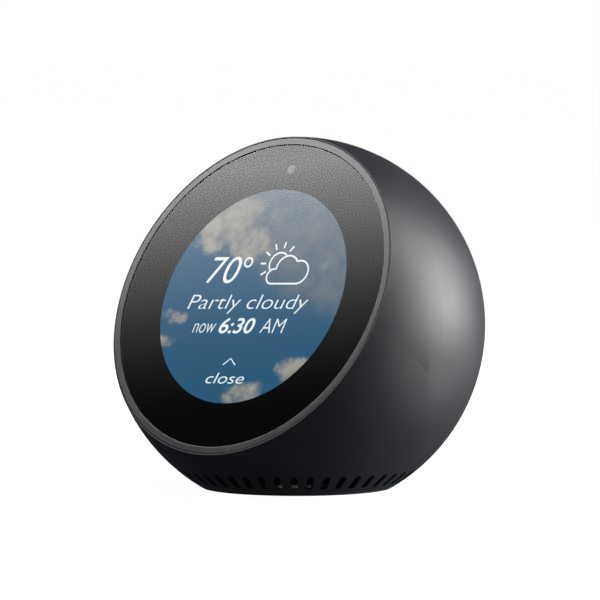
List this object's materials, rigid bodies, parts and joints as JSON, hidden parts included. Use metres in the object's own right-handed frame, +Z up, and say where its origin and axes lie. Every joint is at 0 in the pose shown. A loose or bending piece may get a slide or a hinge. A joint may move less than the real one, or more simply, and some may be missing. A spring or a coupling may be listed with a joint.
{
  "type": "smart display",
  "caption": "Ball-shaped smart display with a round touch screen in its tilted flat face, push buttons on top, a down-firing speaker and two sockets at the back.",
  "frame": {"origin": "centre of the foot's underside, straight below the centre of the ball", "axes": "+Z up, the screen faces -Y and leans back, +X is the viewer's right when facing the screen"},
  "size_m": [0.104, 0.0919, 0.097],
  "materials": {
    "shell_black": "satin, very fine moulded grain",
    "ring_grey": "satin",
    "glass_clear": "polished, printed black border",
    "tape_black": "adhesive foam",
    "film_clear": "clear film",
    "screen": "lit display",
    "steel": "stamped",
    "aluminium": "folded sheet",
    "inner_plastic": "moulded",
    "board_green": "solder mask",
    "chip_black": "moulded package",
    "connector_white": "moulded nylon",
    "pad_blue": "soft gap filler",
    "copper": "enamelled copper",
    "flex_orange": "polyimide film",
    "cable_black": "sheathed wire",
    "button_black": "satin",
    "soft_black": "moulded rubber",
    "paper_black": "pressed cone paper",
    "spider_tan": "resin-treated cloth",
    "magnet": "sintered ferrite",
    "foot_rubber": "matt"
  },
  "bodies": {
    "housing": {"outer_shell": "shell_black", "front_ring": "ring_grey", "cover_glass": "glass_clear", "glass_adhesive": "tape_black", "touch_sensor": "film_clear", "lcd_panel": "screen", "backlight_unit": "steel", "display_frame": "inner_plastic", "camera_module": "chip_black", "camera_lens": "glass_clear", "camera_gasket": "soft_black", "display_cable": "flex_orange", "camera_cable": "flex_orange", "frame_screws": "steel", "main_board": "board_green", "processor": "chip_black", "memory_chips": "chip_black", "shield_frame": "steel", "radio_module": "steel", "thermal_pad": "pad_blue", "heat_spreader": "aluminium", "board_screws": "steel", "board_connectors": "connector_white", "wifi_antennas": "copper", "antenna_cables": "cable_black", "button_board": "board_green", "button_switches": "steel", "microphones": "steel", "microphone_boots": "soft_black", "button_board_screws": "steel", "button_cable": "flex_orange", "speaker_basket": "steel", "speaker_top_plate": "steel", "speaker_magnet": "magnet", "speaker_yoke": "steel", "speaker_surround": "soft_black", "speaker_spider": "spider_tan", "speaker_gasket": "tape_black", "speaker_screws": "steel", "speaker_enclosure": "inner_plastic", "speaker_baffle": "inner_plastic", "enclosure_screws": "steel", "speaker_cable": "cable_black", "jack_board": "board_green", "audio_jack": "inner_plastic", "power_jack": "inner_plastic", "power_jack_pin": "steel", "jack_board_screws": "steel", "jack_cable": "cable_black", "base_plate": "steel", "base_screws": "steel", "rubber_foot": "foot_rubber"},
    "volume_down": {"volume_down_button": "button_black", "volume_down_plunger": "connector_white"},
    "mic_mute": {"mic_mute_button": "button_black", "mic_mute_plunger": "connector_white"},
    "volume_up": {"volume_up_button": "button_black", "volume_up_plunger": "connector_white"},
    "speaker_motion": {"speaker_cone": "paper_black", "voice_coil": "copper"}
  },
  "joints": [
    {"name": "volume_down_press", "type": "slide", "parent": "housing", "child": "volume_down", "axis": [0, -0.4384, -0.8988], "range_m": [0, 0.0004]},
    {"name": "mic_mute_press", "type": "slide", "parent": "housing", "child": "mic_mute", "axis": [0, -0.4384, -0.8988], "range_m": [0, 0.0004]},
    {"name": "volume_up_press", "type": "slide", "parent": "housing", "child": "volume_up", "axis": [0, -0.4384, -0.8988], "range_m": [0, 0.0004]},
    {"name": "speaker_cone_travel", "type": "slide", "parent": "housing", "child": "speaker_motion", "axis": [0, 0, 1], "range_m": [-0.001, 0.001], "deforming": ["speaker_surround", "speaker_spider"]}
  ]
}
